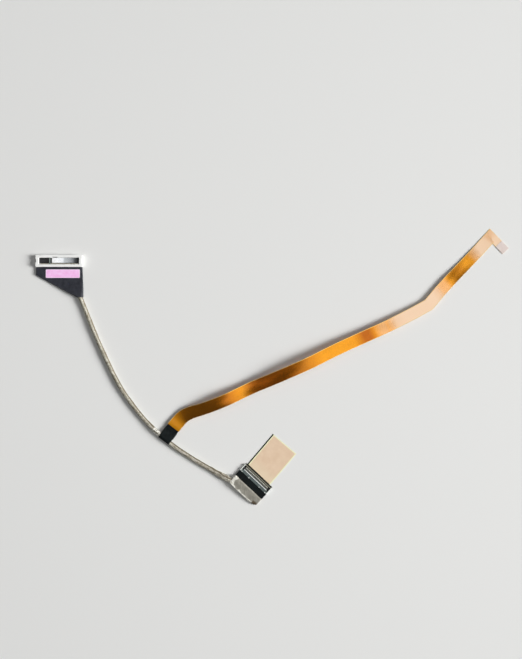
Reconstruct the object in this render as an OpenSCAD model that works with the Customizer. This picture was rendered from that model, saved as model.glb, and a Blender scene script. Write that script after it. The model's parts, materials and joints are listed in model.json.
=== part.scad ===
// Display cable with a flat flex branch, lying flat on a table.
//
// A round bundle of micro-coax wires runs from a white board plug to a thin
// stamped display plug. Part-way along, a black tape holds the tail of a flat
// polyimide flex, which turns two corners in its own plane and ends in a
// stiffened tip. Z = 0 is the table, and the origin is the middle of the
// model's footprint. All sizes are in millimetres.

/* [Wire bundle] */
// Diameter of the wrapped wire bundle
bundle_d = 2.4; // [2:0.1:3]
// Gap between the bundle and whatever is wrapped round it
bundle_fit = 0.1; // [0.06:0.01:0.15]
// Length of the foil band beside the splice
foil_band_len = 4.6; // [3:0.1:6]
// Thickness of the foil band
foil_band_t = 0.12; // [0.06:0.02:0.16]

/* [Flat flex] */
// Width of the flex
flex_w = 6.5; // [5:0.1:8]
// Thickness of the flex
flex_t = 0.18; // [0.1:0.02:0.3]
// Width of the flex where it leaves the splice
flex_tail_w = 7.5; // [6.5:0.1:9]
// Width of the short arm at the far end
arm_w = 4.6; // [3.8:0.1:5.5]
// Length of the tip stiffener
tip_stiffener_len = 5.4; // [4:0.1:7]
// Thickness of a flex stiffener
stiffener_t = 0.14; // [0.08:0.02:0.3]
// Number of contact fingers at the tip
tip_ways = 8; // [4:1:8]
// Pitch of the contact fingers
tip_pitch = 0.5; // [0.4:0.05:0.55]
// Width of one contact finger
finger_w = 0.3; // [0.2:0.02:0.34]
// Length of one contact finger
finger_len = 3.6; // [2:0.1:4]
// Thickness of one contact finger
finger_t = 0.04; // [0.02:0.01:0.08]

/* [Splice] */
// How far the splice tape reaches from the bundle's centre along the flex
splice_len = 7.5; // [6.5:0.1:10]
// Width of the splice tape, along the bundle
splice_w = 7; // [5:0.1:9]
// Height of the flex's lower face where it leaves the splice
splice_exit_z = 1.2; // [1:0.05:1.6]
// Length of the stiffener under the flex's tail
tail_stiffener_len = 4.2; // [3:0.1:5]
// Number of wires soldered to the flex
splice_wires_n = 10; // [6:1:12]

/* [Tape] */
// Thickness of the black wrapping tape
tape_t = 0.12; // [0.06:0.02:0.2]

/* [Board plug] */
// Length of the white housing
board_l = 25; // [24:0.1:30]
// Width of the white housing
board_w = 6.4; // [6:0.1:8]
// Height of the white housing
board_h = 2.6; // [2.3:0.1:3.2]
// Thickness of the housing's end walls
board_end_wall = 1.7; // [1.2:0.1:2]
// Thickness of the housing's long walls
board_long_wall = 1.4; // [1:0.1:1.6]
// Thickness of the housing's floor
board_floor = 0.6; // [0.4:0.05:0.8]
// Radius of the housing's corners
board_corner_r = 0.35; // [0.1:0.05:0.8]
// Number of contact places
board_ways = 40; // [30:1:42]
// Pitch of the contacts
board_pitch = 0.5; // [0.45:0.01:0.52]
// Width of one contact
board_contact_w = 0.22; // [0.15:0.01:0.3]
// Thickness of a contact's strip
board_contact_t = 0.14; // [0.1:0.01:0.18]
// Distance of the key rib from the middle of the housing
key_rib_x = -4.9; // [-6:0.1:-4]
// Thickness of the key rib
key_rib_t = 0.5; // [0.4:0.05:0.8]
// Thickness of the black insert
insert_h = 0.5; // [0.4:0.05:0.7]
// Thickness of the shield plate
shield_t = 0.15; // [0.1:0.01:0.2]
// Height of the shield plate's step
shield_step = 0.18; // [0.1:0.02:0.3]
// How far the shield plate bows down towards its far end
shield_bow = 0.45; // [0.2:0.05:0.6]

/* [Board tape and label] */
// Length of the tape from the housing to the neck
board_tape_run = 16.4; // [14:0.1:22]
// Straight part of the tape's long side
board_tape_shoulder = 4.4; // [2:0.1:5]
// Height of the taped wires next to the housing
board_tape_h = 1.3; // [1.2:0.05:1.6]
// Width of the tape at the neck
neck_w = 3.4; // [3.2:0.05:4.2]
// Distance of the neck from the housing's middle line
neck_offset = 11.45; // [8:0.05:12]
// Length of the label
label_l = 18.4; // [12:0.1:20]
// Width of the label
label_w = 4.6; // [3:0.1:5]
// Tape that shows between the housing and the label
label_gap = 1.3; // [0.5:0.1:1.5]
// Thickness of the label
label_t = 0.1; // [0.05:0.01:0.2]
// Radius of the label's corners
label_r = 0.5; // [0.2:0.1:1]

/* [Display plug] */
// Length of the stamped shell
lcd_l = 19.4; // [18:0.1:22]
// Width of the stamped shell
lcd_w = 5; // [4.8:0.1:5.5]
// Height of the shell's front wall
front_wall_h = 0.6; // [0.5:0.05:0.75]
// Width of the strap over the wires
rear_strap_w = 1.15; // [1:0.05:1.3]
// Width of the strap in front of the contacts
front_strap_w = 0.4; // [0.3:0.05:0.5]
// Width of the shell's rim at each end
side_rim_w = 0.45; // [0.3:0.05:0.6]
// Room between the end of the plug and its contacts
lcd_end_room = 1.85; // [1.85:0.05:2.6]
// Thickness of the shell's sheet
shell_t = 0.15; // [0.1:0.01:0.18]
// Height of the black body
lcd_body_h = 0.6; // [0.5:0.02:0.7]
// Number of contacts
lcd_ways = 40; // [30:1:40]
// Pitch of the contacts
lcd_pitch = 0.4; // [0.36:0.01:0.42]
// Width of one contact
lcd_contact_w = 0.2; // [0.14:0.01:0.24]
// Length of one contact
lcd_contact_len = 1.4; // [1.2:0.05:1.5]
// Thickness of a contact's strip
lcd_contact_t = 0.1; // [0.06:0.01:0.12]
// Diameter of one micro-coax wire
lcd_wire_d = 0.26; // [0.2:0.01:0.3]
// Width of the ground bar
ground_bar_w = 0.44; // [0.3:0.02:0.5]
// Thickness of a ground bar
ground_bar_t = 0.1; // [0.06:0.01:0.12]
// Width of the black tape band behind the plug
band_w = 3.6; // [3:0.1:5]
// Thickness of the silver wrap
wrap_t = 0.12; // [0.08:0.01:0.16]
// Depth of the silver wrap behind the band
wrap_depth = 5.65; // [5:0.05:7]
// Share of its height that the silver wrap loses towards its far end
wrap_fall = 0.4; // [0.2:0.05:0.5]

/* [Adhesive flag] */
// Width of the release liner
liner_w = 16; // [10:0.5:17]
// Length of the release liner
liner_l = 21.2; // [12:0.2:30]
// Thickness of the release liner
liner_t = 0.12; // [0.06:0.01:0.2]
// Thickness of the adhesive under the liner
adhesive_t = 0.08; // [0.04:0.01:0.15]
// Thickness of the flag's black backing tape
flag_t = 0.1; // [0.06:0.01:0.15]
// Backing tape that shows beside the liner
flag_margin = 0.6; // [0.2:0.1:1.2]
// Gap between the plug's front and the liner
liner_gap = 0.1; // [0.05:0.05:0.5]
// Angle between the flag and the plug
flag_turn = 2.9; // [0:0.1:5]

/* [Hidden] */

$fn = 32;
eps = 0.01;
// Clearance between a loose piece and the pocket that holds it
fit = 0.03;

// Route of the bundle from the board plug to the display plug: x, y, and
// 1 where a wrap goes round the bundle and lifts it off the table
bundle_route = [
    [-104, 38.5, 1], [-103, 36, 1], [-101, 31, 0], [-98.5, 24.5, 0], [-96, 18.5, 0],
    [-93.5, 12.5, 0], [-90.5, 6, 0], [-87.5, -0.5, 0], [-84.5, -6.5, 0], [-80.5, -13.5, 0],
    [-75.5, -20.5, 0], [-69.5, -28, 0], [-63, -34.5, 1], [-58, -38.8, 1], [-52.5, -43.3, 0],
    [-46, -47.6, 0], [-39, -52, 0], [-31.5, -56.3, 0], [-25.5, -59.7, 1], [-21.5, -61.8, 1]
];
// Place in the route where the splice sits, and the flex's heading there
splice_i = 13;
splice_heading = 53;

// Route of the flex after it leaves the splice, along its lower face
flex_route_free = [
    [-51, -29.85, 1.1], [-48.2, -26.9, 1.3], [-44.1, -24.7, 2.0], [-38.95, -23.1, 2.9],
    [-33.5, -21.2, 3.8], [-28, -19, 4.4], [-22, -16.4, 4.2], [-16, -13.5, 3.6],
    [-10, -10.7, 3.4], [-3, -7.8, 3.8], [5, -4.4, 4.4], [13, -0.9, 4.9], [21, 2.7, 4.9],
    [29, 6.7, 4.5], [37, 10.6, 4.0], [45, 14.2, 3.5], [53, 17.8, 3.1], [61, 21.4, 2.8],
    [69, 25.4, 2.5], [77, 29.5, 2.1]
];
// First corner of the flex, the straight reach after it, and the end corner
flex_reach = [
    [84.2, 33.5, 1.7], [90.5, 41, 1.3], [97, 48, 1.0], [104, 55.2, 0.6], [111, 62.6, 0.3]
];
flex_end_corner = [118.1, 70.5];
// Heading of the arm after the end corner, and its length to the tip
arm_heading = -46;
arm_len = 11.2;

lcd_heading = -43.3;

bundle_r = bundle_d / 2;
wrap_lift = tape_t + bundle_fit;
bundle_path = [
    for (p = smooth([for (q = bundle_route) [q[0], q[1], bundle_r + q[2] * wrap_lift]], 2))
        [p[0], p[1], max(p[2], bundle_r)]
];
bundle_end = bundle_route[len(bundle_route) - 1];
bundle_last = bundle_route[len(bundle_route) - 2];

splice_at = xy(bundle_route[splice_i]);
splice_z = bundle_r + wrap_lift;
splice_wire_d = 0.3;
tail_start = bundle_r + 0.8;
flex_path = concat(
    [splice_point(tail_start, splice_exit_z)],
    [splice_point((tail_start + splice_len) / 2, splice_exit_z)],
    smooth(concat([splice_point(splice_len, splice_exit_z)], flex_route_free, [flex_reach[0]]), 2),
    [for (i = [1:len(flex_reach) - 1]) flex_reach[i]],
    [concat(flex_end_corner, finger_t)],
    [concat(flex_end_corner + arm_len * heading(arm_heading), finger_t)]
);
// Points of the path over which the flex narrows from its tail width
narrow_from = 3;
narrow_to = 11;

// Board plug, measured from the middle of the housing: X along it, Y forward
neck_inset = 0.45;
neck_overlap = 1.1;
neck_end_t = 0.4;
board_at = [bundle_route[0][0] + neck_inset - neck_offset,
    bundle_route[0][1] - neck_overlap + board_tape_run + board_w / 2];
recess_l = board_l - 2 * board_end_wall;
recess_w = board_w - 2 * board_long_wall;
insert_rear = -recess_w / 2 + 0.6;
insert_top = board_floor + insert_h;
board_wire_d = 0.36;
board_wire_z = board_floor + board_wire_d / 2;
contact_top = board_h - 0.7;
shield_flat = 7.05;
shield_x0 = key_rib_x + key_rib_t / 2 + 0.85;
shield_x1 = recess_l / 2 - 0.15;
shield_front = recess_w / 2 - 0.08;
shield_rear = -recess_w / 2 + 0.8;
shield_z = board_h - 0.45;
neck_h = bundle_d + 2 * wrap_lift;
wire_comb_len = 2.2;

// Display plug, measured from its middle: X along it, Y towards the liner.
// Its base sits on the flag's tape, and the bundle ends inside its silver wrap
band_front = -lcd_w / 2;
band_rear = band_front - band_w;
wrap_front = band_rear;
wrap_rear = wrap_front - wrap_depth;
wrap_x0 = -lcd_l / 2 + 0.3;
wrap_x1 = lcd_l / 2 - 0.1;
bundle_entry = [-lcd_l / 2 + 1.4, wrap_rear + 1.9];
lcd_at = xy(bundle_end) - turned(bundle_entry, lcd_heading);
lcd_z = flag_t;
lcd_body_top = lcd_z + shell_t + lcd_body_h;
lcd_wire_z = lcd_body_top + lcd_wire_d / 2;
strap_z = lcd_body_top + lcd_wire_d;
strap_top = strap_z + shell_t;
band_h = strap_z + 0.2;
lcd_contact_rear = -0.5;
ground_bar_gap = 0.12;

// ---------------------------------------------------------------- functions

function heading(a) = [cos(a), sin(a)];
function left_of(d) = [-d[1], d[0]];
function cross2(a, b) = a[0] * b[1] - a[1] * b[0];
function unit(v) = v / norm(v);
function xy(p) = [p[0], p[1]];
function mix(a, b, t) = a + (b - a) * t;
function ease(t) = t * t * (3 - 2 * t);
function clamp(t) = min(max(t, 0), 1);
function turned(v, a) = [v[0] * cos(a) - v[1] * sin(a), v[0] * sin(a) + v[1] * cos(a)];

// A point on the splice's centre line, s from the bundle's middle
function splice_point(s, z) = concat(splice_at + s * heading(splice_heading), z);

// A smooth curve through the points, with n steps between neighbours
function smooth(p, n) = concat(
    [for (i = [0:len(p) - 2]) for (k = [0:n - 1])
        curve(p[max(i - 1, 0)], p[i], p[i + 1], p[min(i + 2, len(p) - 1)], k / n)],
    [p[len(p) - 1]]
);
function curve(a, b, c, d, t) =
    (2 * b + (c - a) * t + (2 * a - 5 * b + 4 * c - d) * t * t + (3 * b - a - 3 * c + d) * t * t * t) / 2;

// Direction of a path at its point i
function tangent(p, i) = unit(p[min(i + 1, len(p) - 1)] - p[max(i - 1, 0)]);

// One ring of a round tube
function round_ring(c, t, r, sides) =
    let (side = unit(cross(t, [0, 0, 1])), up = cross(side, t))
    [for (k = [0:sides - 1]) c + r * (cos(360 * k / sides) * side + sin(360 * k / sides) * up)];

// A rounded rectangle from (x0, z0) to (x1, z1), turned into 3D by its caller
function round_rect(x0, x1, z0, z1, r, steps = 3) =
    let (cx = [x1 - r, x0 + r, x0 + r, x1 - r], cz = [z1 - r, z1 - r, z0 + r, z0 + r])
    [for (q = [0:3]) for (k = [0:steps]) let (a = 90 * q + 90 * k / steps)
        [cx[q] + r * cos(a), cz[q] + r * sin(a)]];

// Edge point of a flat strip at point i: the neighbouring edges, widths h0
// before and h1 after, are run to where they cross, so corners are mitred
function strip_edge(p, i, side, h0, h1) =
    let (
        d0 = unit(xy(p[max(i, 1)]) - xy(p[max(i, 1) - 1])),
        d1 = unit(xy(p[min(i + 1, len(p) - 1)]) - xy(p[min(i, len(p) - 2)])),
        n0 = side * h0 * left_of(d0),
        n1 = side * h1 * left_of(d1),
        turn = cross2(d0, d1)
    )
    abs(turn) < 0.002
        ? xy(p[i]) + (n0 + n1) / 2
        : xy(p[i]) + n0 + d0 * cross2(n1 - n0, d1) / turn;

// ---------------------------------------------------------------- helpers

// A closed solid through rings of equal length
module loft(rings) {
    n = len(rings);
    m = len(rings[0]);
    polyhedron(
        points = [for (r = rings) for (p = r) p],
        faces = concat(
            [[for (j = [0:m - 1]) j]],
            [for (i = [0:n - 2]) for (j = [0:m - 1]) let (k = (j + 1) % m)
                [i * m + j, (i + 1) * m + j, (i + 1) * m + k]],
            [for (i = [0:n - 2]) for (j = [0:m - 1]) let (k = (j + 1) % m)
                [i * m + j, (i + 1) * m + k, i * m + k]],
            [[for (j = [m - 1:-1:0]) (n - 1) * m + j]]
        )
    );
}

module tube(path, r, sides = 8) {
    loft([for (i = [0:len(path) - 1]) round_ring(path[i], tangent(path, i), r, sides)]);
}

// A box given by its low and high corners
module block(lo, hi) {
    translate(lo) cube(hi - lo);
}

module rounded_plate(l, w, t, r) {
    linear_extrude(t) hull() {
        for (x = [-1, 1]) for (y = [-1, 1]) {
            translate([x * (l / 2 - r), y * (w / 2 - r)]) circle(r);
        }
    }
}

// Extrudes a Y-Z profile along X, centred on x = 0
module along_x(len) {
    translate([-len / 2, 0, 0]) rotate([90, 0, 90]) linear_extrude(len) children();
}

// A straight wire along Y at height z
module wire(x, y0, y1, z, d) {
    translate([x, y0, z]) rotate([-90, 0, 0]) cylinder(h = y1 - y0, d = d);
}

// Mirrors its children in X where side is -1
module on_side(side) {
    mirror([side < 0 ? 1 : 0, 0, 0]) children();
}

module at_board() {
    translate(concat(board_at, 0)) children();
}

module at_lcd() {
    translate(concat(lcd_at, 0)) rotate([0, 0, lcd_heading]) children();
}

module at_splice() {
    translate(concat(splice_at, 0)) rotate([0, 0, splice_heading]) children();
}

// The straight hole for the bundle through a wrap, from point a to point b
module bundle_hole(a, b, beyond) {
    run = unit(xy(b) - xy(a));
    length = norm(xy(b) - xy(a));
    translate([a[0], a[1], bundle_r + wrap_lift])
        rotate([0, 90, atan2(run[1], run[0])])
        cylinder(h = length + beyond, r = bundle_r + bundle_fit);
}

// -------------------------------------------------------------- board plug

// Middles of the contacts: every place on the pitch that is clear of the rib
function board_contact_xs() = [
    for (i = [0:board_ways - 1]) let (x = (i - (board_ways - 1) / 2) * board_pitch)
        if (abs(x - key_rib_x) > (key_rib_t + board_contact_w) / 2 + fit
            && abs(x) < recess_l / 2 - board_contact_w) x
];

module board_housing() {
    lip = 0.2;
    relief = [3, 0.4];
    grip = [0.35, 1.6];
    pin_one = [0.8, 0.3, 0.8];
    pin_one_inset = 2;
    rib_gap = 0.05;
    rib_drop = 0.3;
    color("white") at_board() {
        difference() {
            rounded_plate(board_l, board_w, board_h, board_corner_r);
            // Recess, with a shallow lead-in step round its mouth
            block([-recess_l / 2, -recess_w / 2, board_floor], [recess_l / 2, recess_w / 2, board_h + 1]);
            block([-recess_l / 2 - lip, -recess_w / 2 - lip, board_h - lip],
                [recess_l / 2 + lip, recess_w / 2 + lip, board_h + 1]);
            // Slot through the rear wall for the row of wires
            block([-recess_l / 2, -board_w / 2 - 1, board_floor],
                [recess_l / 2, -recess_w / 2 + eps, board_floor + board_wire_d + 2 * fit]);
            // Relief beside the shield plate's tab
            block([shield_x0, recess_w / 2 - eps, board_floor],
                [shield_x0 + relief[0], recess_w / 2 + relief[1], board_h + 1]);
            // Grip notches in the end walls and the pin-one notch
            for (x = [-1, 1]) {
                translate([x * board_l / 2, 0, board_h / 2])
                    cube([2 * grip[0], grip[1], board_h], center = true);
            }
            translate([-board_l / 2 + pin_one_inset, board_w / 2 - pin_one[1], board_h - pin_one[2]])
                cube([pin_one[0], 1, board_h]);
        }
        // Key rib across the recess
        block([key_rib_x - key_rib_t / 2, -recess_w / 2 - eps, insert_top + rib_gap],
            [key_rib_x + key_rib_t / 2, recess_w / 2 + eps, board_h - rib_drop]);
    }
}

module board_insert() {
    groove = [board_contact_w + 2 * fit, 0.5, 0.2];
    color([0.06, 0.06, 0.07]) at_board() difference() {
        block([-recess_l / 2, insert_rear, board_floor], [recess_l / 2, recess_w / 2, insert_top]);
        // A groove in front of each contact
        for (x = board_contact_xs()) {
            block([x - groove[0] / 2, insert_rear - 1, insert_top - groove[2]],
                [x + groove[0] / 2, insert_rear + groove[1], board_h]);
        }
    }
}

// A foot on the floor, a blade up the rear wall and a rolled top
module board_contacts() {
    t = board_contact_t;
    rear = -recess_w / 2;
    foot = insert_rear - fit;
    color([0.85, 0.68, 0.35]) at_board() for (x = board_contact_xs()) {
        translate([x, 0, 0]) along_x(board_contact_w) polygon([
            [rear, board_floor], [foot, board_floor], [foot, board_floor + t],
            [rear + 2 * t, board_floor + t], [rear + t, board_floor + 2 * t],
            [rear + t, contact_top - 1.5 * t], [rear + 1.6 * t, contact_top - t],
            [rear + 2.6 * t, contact_top - t], [rear + 2.6 * t, contact_top], [rear + t, contact_top],
            [rear, contact_top - t]
        ]);
    }
}

// Polished plate: a tab down to the insert, a flat, a step and a bowed reach
module board_shield() {
    nose = 0.12;
    ramp = 0.3;
    steps = 8;
    step_x = shield_x0 + shield_flat;
    bow_len = shield_x1 - step_x - ramp;
    bow_z = shield_z - shield_step;
    top = concat(
        [[shield_x0, shield_z - nose], [shield_x0 + nose, shield_z], [step_x, shield_z]],
        [for (i = [0:steps]) let (t = i / steps) [step_x + ramp + t * bow_len, bow_z - shield_bow * t * t]],
        [[shield_x1, insert_top]]
    );
    under = concat(
        [[shield_x1 - shield_t, insert_top]],
        [for (i = [steps:-1:0]) let (t = i / steps)
            [step_x + ramp + t * (bow_len - shield_t), bow_z - shield_t - shield_bow * t * t]],
        [[step_x - ramp / 6, shield_z - shield_t], [shield_x0 + shield_t, shield_z - shield_t],
            [shield_x0 + shield_t, insert_top], [shield_x0, insert_top]]
    );
    color([0.8, 0.82, 0.84]) at_board() translate([0, shield_front, 0]) rotate([90, 0, 0])
        linear_extrude(shield_front - shield_rear) polygon(concat(top, under));
}

// Left and right edges of the taped wires, s behind the housing
function tape_left(s) = s < board_tape_shoulder ? -board_l / 2 :
    mix(-board_l / 2, neck_offset - neck_w / 2,
        (s - board_tape_shoulder) / (board_tape_run - board_tape_shoulder));
function tape_right(s) = mix(board_l / 2, neck_offset + neck_w / 2, s / board_tape_run);
function tape_flat_run() = label_gap + label_w + 0.2;
function tape_rise(s) = clamp((s - tape_flat_run()) / (board_tape_run - tape_flat_run()));
function tape_height(s) = mix(board_tape_h, neck_h, ease(tape_rise(s)));

// Section of the taped wires at s, drawn in by inset on all sides
function tape_section(s, inset) =
    let (
        h = tape_height(s),
        half = min(h, tape_right(s) - tape_left(s)) / 2,
        r = max(mix(0.35, 0.92 * half, ease(tape_rise(s))) - inset, 0.1)
    )
    [for (p = round_rect(tape_left(s) + inset, tape_right(s) - inset, inset, h - inset, r))
        [p[0], -board_w / 2 - s, p[1]]];

module taped_wires(from, to, inset) {
    inner = concat([board_tape_shoulder],
        [for (t = [0:0.2:0.8]) mix(tape_flat_run(), board_tape_run, t)]);
    stations = concat([from], [for (s = inner) if (s > from + 0.05 && s < to - 0.05) s], [to]);
    loft([for (s = stations) tape_section(s, inset)]);
}

module board_tape() {
    color([0.17, 0.19, 0.21]) at_board() difference() {
        taped_wires(0, board_tape_run, 0);
        taped_wires(-1, board_tape_run - neck_end_t, tape_t);
        translate(concat(-board_at, 0)) bundle_hole(bundle_path[0], bundle_path[2], 2);
    }
}

// A comb of wires out of the housing that gathers into one fan
module board_wires() {
    overlap = 0.2;
    fan_gap = 0.65;
    color([0.2, 0.3, 0.55]) at_board() {
        for (x = board_contact_xs()) {
            wire(x, -board_w / 2 - wire_comb_len - overlap, -recess_w / 2 - fit, board_wire_z, board_wire_d);
        }
        taped_wires(wire_comb_len, board_tape_run - neck_overlap - fan_gap, tape_t + fit);
    }
}

module board_ground_bar() {
    z = board_wire_z + board_wire_d / 2;
    half = recess_l / 2 - 0.3;
    front = -board_w / 2 - 0.7;
    bar_w = 0.8;
    color([0.75, 0.72, 0.62]) at_board()
        block([-half, front - bar_w, z], [half, front, z + ground_bar_t]);
}

module board_label() {
    end_gap = 1.3;
    x = board_l / 2 - end_gap - label_l / 2;
    color([0.96, 0.73, 0.92]) at_board() translate([x, -board_w / 2 - label_gap - label_w / 2, board_tape_h])
        rounded_plate(label_l, label_w, label_t, label_r);
}

// ------------------------------------------------------------------ bundle

module bundle() {
    color([0.8, 0.8, 0.7]) tube(bundle_path, bundle_r);
}

// A turn of foil round the bundle, just short of the splice tape
module foil_band() {
    back = bundle_route[splice_i - 1];
    run = unit(splice_at - xy(back));
    gap = 0.15;
    from = splice_at - run * (splice_w / 2 + gap + foil_band_len);
    color([0.88, 0.87, 0.78]) translate(concat(from, splice_z)) rotate([0, 90, atan2(run[1], run[0])])
        difference() {
            cylinder(h = foil_band_len, r = bundle_r + bundle_fit + foil_band_t);
            translate([0, 0, -1]) cylinder(h = foil_band_len + 2, r = bundle_r + bundle_fit);
        }
}

// ------------------------------------------------------------------ splice

// Tape wrapped round the bundle and folded over the flex's tail, open at its
// two sides
module splice_tape() {
    clear = 0.1;
    low = splice_exit_z - stiffener_t - clear;
    high = splice_exit_z + flex_t + clear;
    inner = bundle_r * 0.9;
    lip = 0.1;
    color([0.1, 0.11, 0.12]) difference() {
        at_splice() translate([0, splice_w / 2, 0]) rotate([90, 0, 0]) linear_extrude(splice_w) difference() {
            hull() {
                translate([0, splice_z]) circle(bundle_r + wrap_lift);
                translate([splice_len - lip, low - tape_t]) square([lip, high - low + 2 * tape_t]);
            }
            polygon([
                [0, splice_z - inner], [splice_len + 1, low], [splice_len + 1, high], [0, splice_z + inner]
            ]);
        }
        bundle_hole(bundle_route[splice_i - 1], splice_at, splice_w);
    }
}

module splice_wires() {
    z = splice_exit_z + flex_t + splice_wire_d / 2;
    margin = 0.5;
    solder_len = 1.2;
    pitch = (flex_w - 2 * margin) / (splice_wires_n - 1);
    from = bundle_r + 0.2;
    color([0.7, 0.25, 0.2]) at_splice() for (i = [0:splice_wires_n - 1]) {
        translate([from, (i - (splice_wires_n - 1) / 2) * pitch, z])
            rotate([0, 90, 0]) cylinder(h = tail_start + solder_len - from, d = splice_wire_d);
    }
}

module flex_tail_stiffener() {
    color([0.75, 0.6, 0.3]) at_splice()
        block([tail_start, -flex_tail_w / 2, splice_exit_z - stiffener_t],
            [tail_start + tail_stiffener_len, flex_tail_w / 2, splice_exit_z]);
}

// -------------------------------------------------------------------- flex

// Half width of the flex up to its point i
function flex_half(i) = i > len(flex_path) - 2 ? arm_w / 2 :
    mix(flex_tail_w, flex_w, ease(clamp((i - narrow_from) / (narrow_to - narrow_from)))) / 2;

module flex() {
    last = len(flex_path) - 1;
    color([0.86, 0.52, 0.12]) loft([for (i = [0:last])
        let (
            z = flex_path[i][2],
            l = strip_edge(flex_path, i, 1, flex_half(i), flex_half(i + 1)),
            r = strip_edge(flex_path, i, -1, flex_half(i), flex_half(i + 1))
        )
        [concat(l, z), concat(r, z), concat(r, z + flex_t), concat(l, z + flex_t)]]);
}

module at_tip() {
    translate(flex_path[len(flex_path) - 1]) rotate([0, 0, arm_heading]) children();
}

module tip_stiffener() {
    color([0.88, 0.83, 0.8]) at_tip()
        block([-tip_stiffener_len, -arm_w / 2, flex_t], [0, arm_w / 2, flex_t + stiffener_t]);
}

module tip_contacts() {
    color([0.9, 0.75, 0.4]) at_tip() for (i = [0:tip_ways - 1]) {
        translate([-finger_len, (i - (tip_ways - 1) / 2) * tip_pitch - finger_w / 2, -finger_t])
            cube([finger_len, finger_w, finger_t]);
    }
}

// ------------------------------------------------------------ display plug

function lcd_contact_xs() = [
    for (i = [0:lcd_ways - 1]) let (x = (i - (lcd_ways - 1) / 2) * lcd_pitch)
        if (abs(x) <= lcd_l / 2 - lcd_end_room) x
];

// One bent sheet: base, front wall, end walls, and a rim of straps on top
module lcd_shell() {
    t = shell_t;
    front = lcd_w / 2;
    rear = -lcd_w / 2;
    wall_top = lcd_z + front_wall_h;
    rim_front = front - 0.75;
    foot = [2.5 * t, 1];
    tab = [0.6, 0.4, 0.1];
    tab_places = [-0.435, -0.17, 0.21, 0.435];
    color([0.72, 0.72, 0.7]) at_lcd() {
        along_x(lcd_l - 4 * t) polygon([
            [rear, lcd_z], [front - 2 * t, lcd_z], [front - 0.6 * t, lcd_z + 0.4 * t],
            [front, lcd_z + 1.6 * t], [front, wall_top - 0.4 * t], [front - 0.4 * t, wall_top],
            [front - t, wall_top], [front - t, lcd_z + 2 * t], [front - 2 * t, lcd_z + t], [rear, lcd_z + t]
        ]);
        for (s = [-1, 1]) on_side(s) {
            end_wall(rear, rim_front);
            // Foot that joins the end wall to the base, and the rim above it
            block([lcd_l / 2 - foot[0], rear + foot[1], lcd_z], [lcd_l / 2, rim_front, lcd_z + t]);
            block([lcd_l / 2 - side_rim_w, rear, strap_z], [lcd_l / 2, rim_front, strap_top]);
        }
        strap(rear, rear_strap_w);
        strap(rim_front - front_strap_w, front_strap_w);
        // Pressed tabs along the rear strap
        for (x = lcd_l * tab_places) {
            block([x - tab[0] / 2, rear, strap_top - eps],
                [x + tab[0] / 2, rear + tab[1], strap_top + tab[2]]);
        }
    }
}

// End wall with a window where the lock arm flexes, and its lock ear
module end_wall(rear, front) {
    t = shell_t;
    window = [-0.8, 0.7];
    rear_cut = 0.5;
    ear = [0.6, 0.25];
    translate([lcd_l / 2 - t, 0, 0]) difference() {
        block([0, rear, lcd_z], [t, front, strap_top]);
        block([-1, window[0], lcd_z + 2.5 * t], [1, window[1], strap_z - 0.5 * t]);
        block([-1, rear - 1, lcd_z - 1], [1, rear + rear_cut, lcd_z + 3 * t]);
    }
    translate([lcd_l / 2 - t / 2, front - 0.1, strap_z - ear[1]]) rotate([90, 0, 0])
        cylinder(h = ear[0], r = ear[1], $fn = 24);
}

// A strap across the shell, with a pilot hole near each end
module strap(y, w) {
    hole_d = min(0.36, 0.4 * w);
    hole_places = [-0.22, 0.22];
    difference() {
        block([-lcd_l / 2 + shell_t, y, strap_z], [lcd_l / 2 - shell_t, y + w, strap_top]);
        for (x = lcd_l * hole_places) {
            translate([x, y + 0.6 * w, strap_z - 1]) cylinder(h = shell_t + 2, d = hole_d, $fn = 24);
        }
    }
}

// Black body with a groove for each contact and a rail in front of them
module lcd_body() {
    groove = [lcd_contact_w + 2 * fit, 0.25, 0.15];
    rail = [0.6, 0.2, 0.18];
    half = lcd_l / 2 - 0.45;
    front = lcd_w / 2 - 2 * shell_t - fit;
    rear = lcd_contact_rear - 0.6;
    tip = lcd_contact_rear + lcd_contact_len;
    rail_rear = tip + 0.1;
    color([0.13, 0.13, 0.13]) at_lcd() difference() {
        union() {
            block([-half, rear, lcd_z + shell_t], [half, front, lcd_body_top]);
            block([-half + rail[0], rail_rear, lcd_body_top - eps],
                [half - rail[0], rail_rear + rail[1], lcd_body_top + rail[2]]);
        }
        for (x = lcd_contact_xs()) {
            block([x - groove[0] / 2, tip - groove[1], lcd_body_top - groove[2]],
                [x + groove[0] / 2, tip + 0.05, lcd_body_top + 1]);
        }
    }
}

// A flat tail under the wire's end and a raised, rounded tip
module lcd_contacts() {
    t = lcd_contact_t;
    z = lcd_body_top;
    rear = lcd_contact_rear;
    tip = rear + lcd_contact_len;
    color([0.9, 0.85, 0.7]) at_lcd() for (x = lcd_contact_xs()) {
        translate([x, 0, 0]) along_x(lcd_contact_w) polygon([
            [rear, z], [tip, z], [tip, z + 0.5 * t], [tip - 1.5 * t, z + 1.6 * t], [tip - 3.5 * t, z + 2 * t],
            [tip - 6 * t, z + 1.6 * t], [tip - 7.5 * t, z + t], [rear, z + t]
        ]);
    }
}

// Rear edge and height of the silver wrap at t, from 0 at the bundle's end
// of the plug to 1 at the other
wrap_corners = [0.3, 1.3];
wrap_stations = [0.08, 0.28, 0.5, 0.75, 0.93, 1];
function wrap_back(t) = wrap_rear + wrap_corners[0] * pow(1 - t, 12) + wrap_corners[1] * pow(t, 8);
function wrap_height(t) = neck_h * (1 - wrap_fall * ease(t));
function wrap_section(t, inset, front_gap) =
    [for (p = round_rect(wrap_back(t) + inset, wrap_front - front_gap, inset, wrap_height(t) - inset,
            max(0.5 - inset, 0.2)))
        [mix(wrap_x0 + inset, wrap_x1 - inset, t), p[0], p[1]]];

module wrapped_wires(inset, front_gap, from = 0) {
    later = [for (t = wrap_stations) if (t > from + 0.02) t];
    loft([for (t = concat([from], later)) wrap_section(t, inset, front_gap)]);
}

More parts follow.
